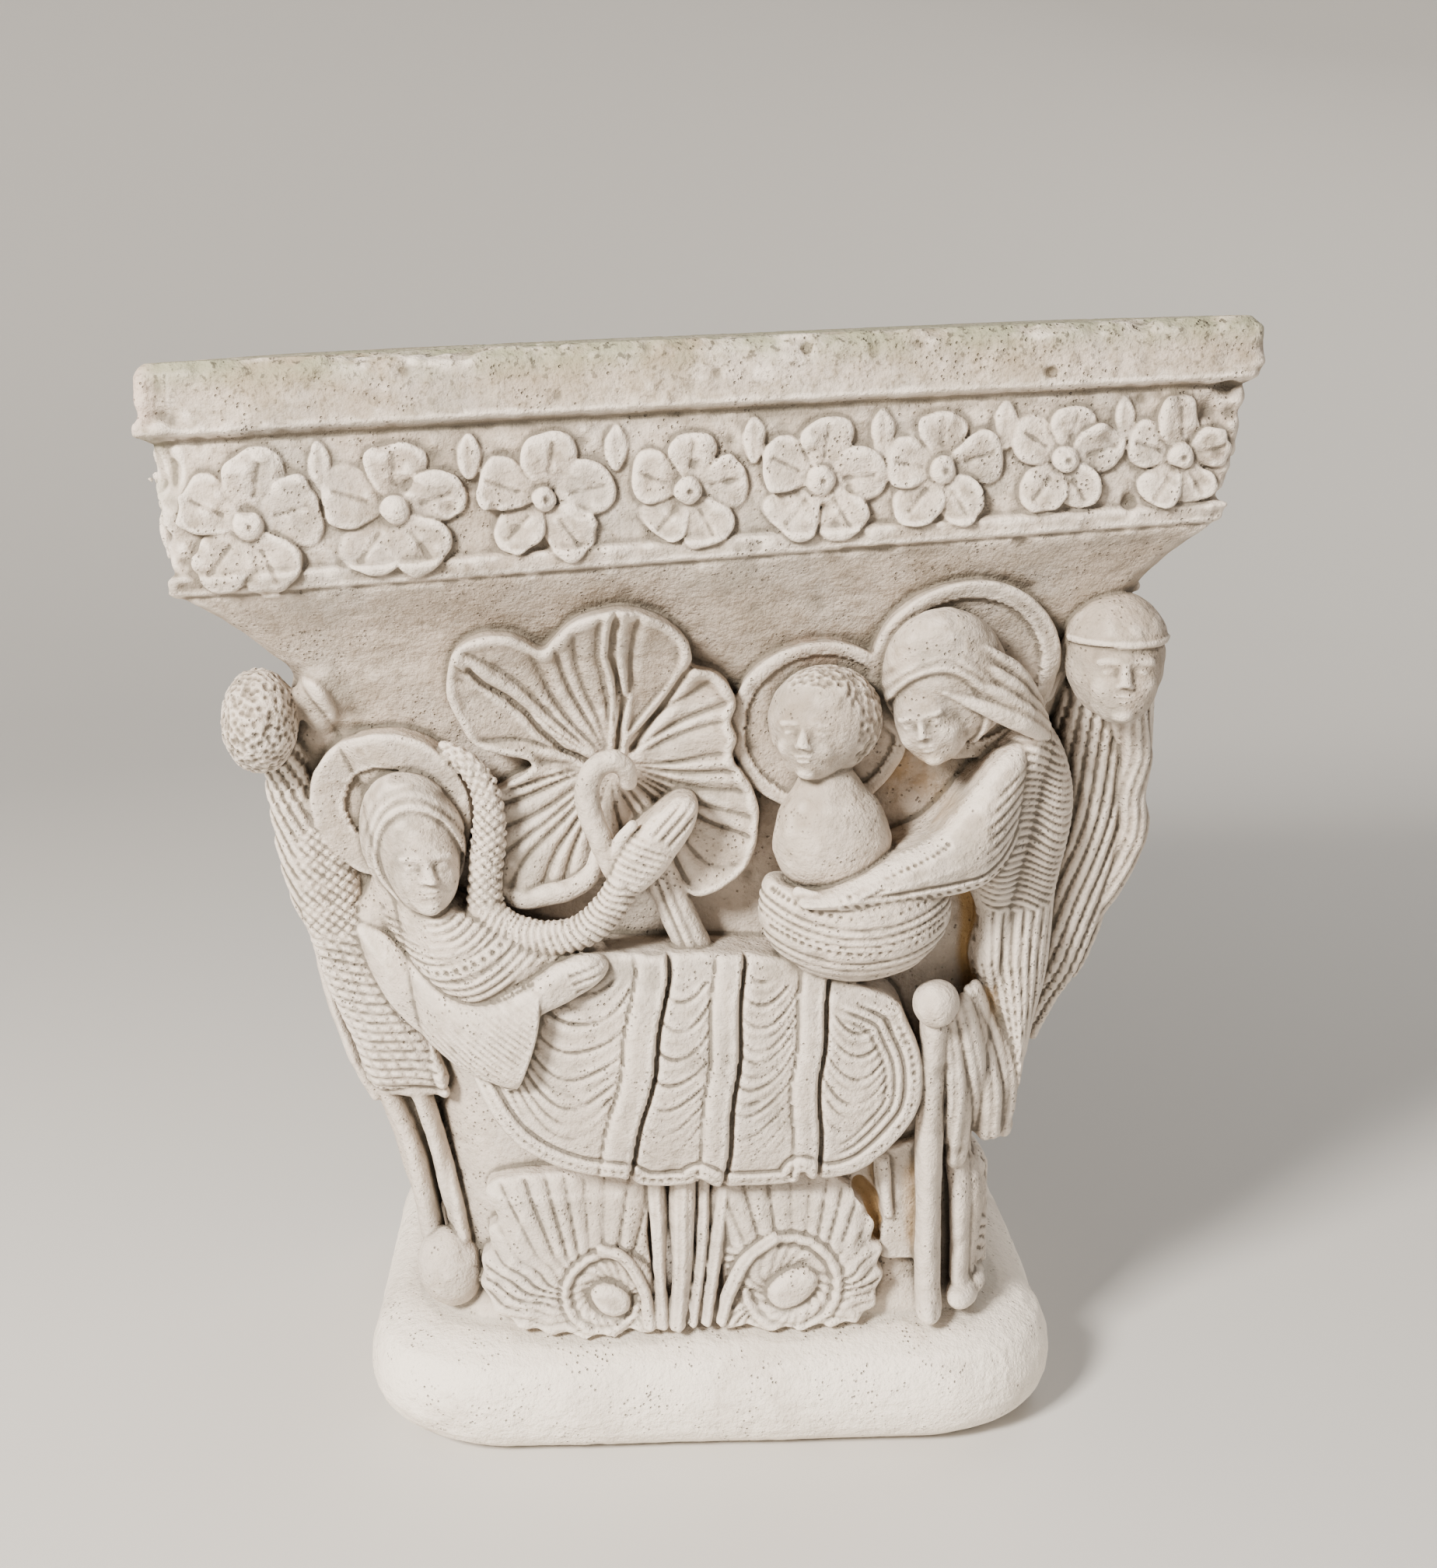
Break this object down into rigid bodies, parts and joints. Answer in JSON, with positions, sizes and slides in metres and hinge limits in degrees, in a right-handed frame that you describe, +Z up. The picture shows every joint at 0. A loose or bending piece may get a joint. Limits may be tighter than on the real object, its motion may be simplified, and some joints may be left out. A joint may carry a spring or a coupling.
{
  "type": "column capital",
  "caption": "Carved column capital of cast plaster with figures in relief on a flared bell, a rosette frieze under a square abacus and a round-edged base roll.",
  "frame": {"origin": "middle of the outer box, on the plane the base rests on", "axes": "+X to the right across the carved front, the front faces -Y, +Z up"},
  "size_m": [0.3514, 0.299, 0.4116],
  "materials": {
    "plaster": "matt, off-white, worn, with dirt in the hollows"
  },
  "bodies": {
    "root": {"capital": "plaster"}
  },
  "joints": []
}
